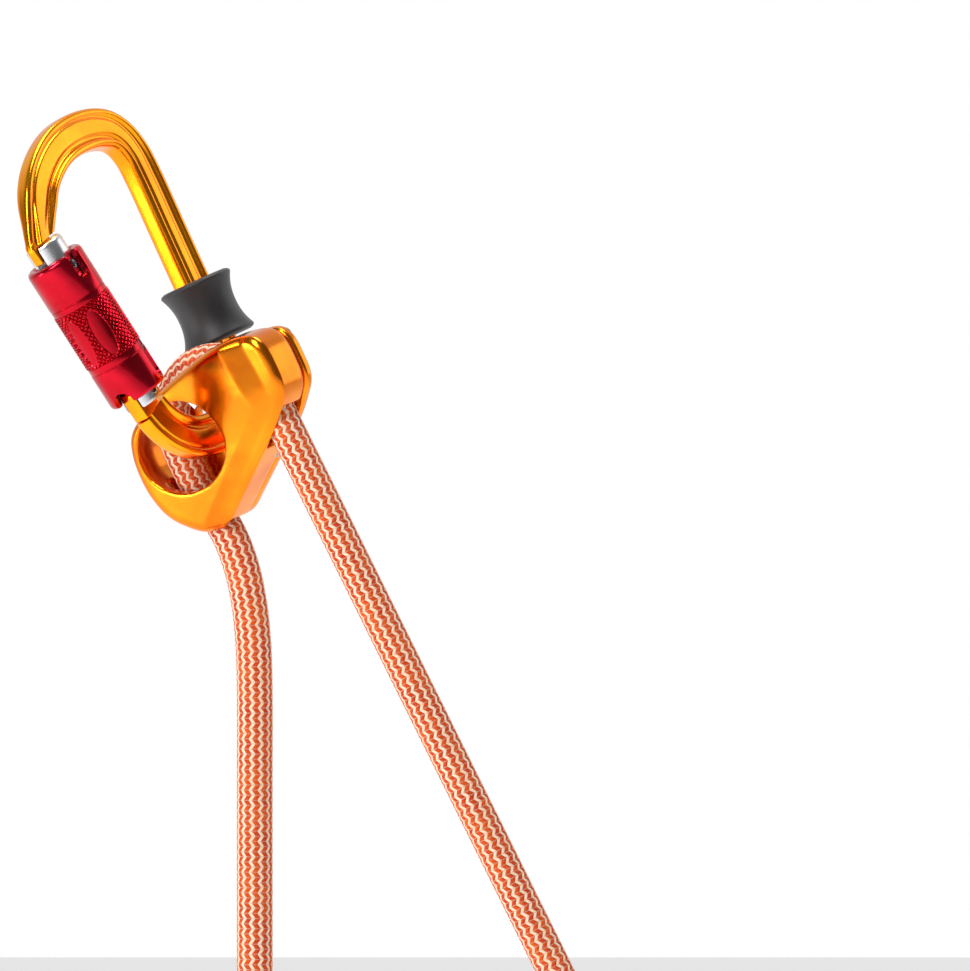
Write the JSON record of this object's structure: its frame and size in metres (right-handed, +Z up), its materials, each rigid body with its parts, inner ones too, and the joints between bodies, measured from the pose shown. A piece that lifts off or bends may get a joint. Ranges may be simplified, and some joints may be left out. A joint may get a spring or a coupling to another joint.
{
  "type": "rope grab",
  "caption": "Forged rope adjuster on an asymmetric twist-lock carabiner, with a two-tone lanyard rope running through it to a sewn eye.",
  "frame": {"origin": "inside of the carabiner's top bend, where the anchor bears", "axes": "+Z up as it hangs, +X towards the load strand's far end, -Y towards the viewer; the carabiner leans 24.4 degrees from upright in the X, Z plane"},
  "size_m": [0.1833, 0.0566, 0.4118],
  "materials": {
    "gold_aluminium": "glossy gold anodised",
    "orange_aluminium": "glossy orange anodised",
    "red_aluminium": "glossy red anodised",
    "bare_aluminium": "polished",
    "steel": "satin",
    "grey_rubber": "matte moulded",
    "rope": "orange and white zig-zag sheath",
    "black_plastic": "moulded",
    "black_webbing": "woven strap"
  },
  "bodies": {
    "carabiner": {"carabiner_frame": "gold_aluminium", "hinge_pin": "steel"},
    "keeper": {"spine_keeper": "grey_rubber"},
    "gate": {"gate_barrel": "bare_aluminium", "track_pin": "steel", "gate_spring": "steel", "sleeve_key_pin": "steel", "sleeve_spring": "steel"},
    "plunger": {"gate_plunger": "steel"},
    "sleeve": {"lock_sleeve": "red_aluminium"},
    "adjuster": {"adjuster_body": "orange_aluminium", "adjuster_rear_plate": "orange_aluminium", "rope_saddle": "bare_aluminium", "rivet_hood": "steel", "rivet_web": "steel", "rivet_saddle_top": "steel", "rivet_saddle_side": "steel", "rope_bight": "rope", "load_strand": "rope", "load_eye_sleeve": "black_plastic", "load_eye": "rope", "tail_strand": "rope", "tail_hank": "rope", "hank_tie": "black_webbing", "tail_stop": "black_plastic"}
  },
  "joints": [
    {"name": "gate_hinge", "type": "hinge", "parent": "carabiner", "child": "gate", "pos_m": [0.01284, -0.01877, -0.06382], "axis": [-0.7176, 0.6157, -0.3255], "range_deg": [0, 24], "stiffness_Nm_per_rad": 0.02, "springref_deg": -28.65},
    {"name": "plunger_slide", "type": "slide", "parent": "gate", "child": "plunger", "axis": [-0.5286, -0.1773, 0.8301], "range_m": [0, 0.0003]},
    {"name": "sleeve_twist", "type": "hinge", "parent": "gate", "child": "sleeve", "pos_m": [0.01284, -0.01877, -0.06382], "axis": [0.5286, 0.1773, -0.8301], "range_deg": [0, 90], "stiffness_Nm_per_rad": 0.01, "springref_deg": -28.65},
    {"name": "adjuster_tip", "type": "hinge", "parent": "carabiner", "child": "adjuster", "pos_m": [0.03325, 0, -0.07331], "axis": [-0.5607, -0.788, -0.2543], "range_deg": [-15, 12]},
    {"name": "keeper_slide", "type": "slide", "parent": "carabiner", "child": "keeper", "axis": [-0.4131, 0, 0.9107], "range_m": [0, 0.012]}
  ],
  "couplings": [
    {"joint": "plunger_slide", "follows": "gate_hinge", "m_per_rad": 0.0006}
  ]
}
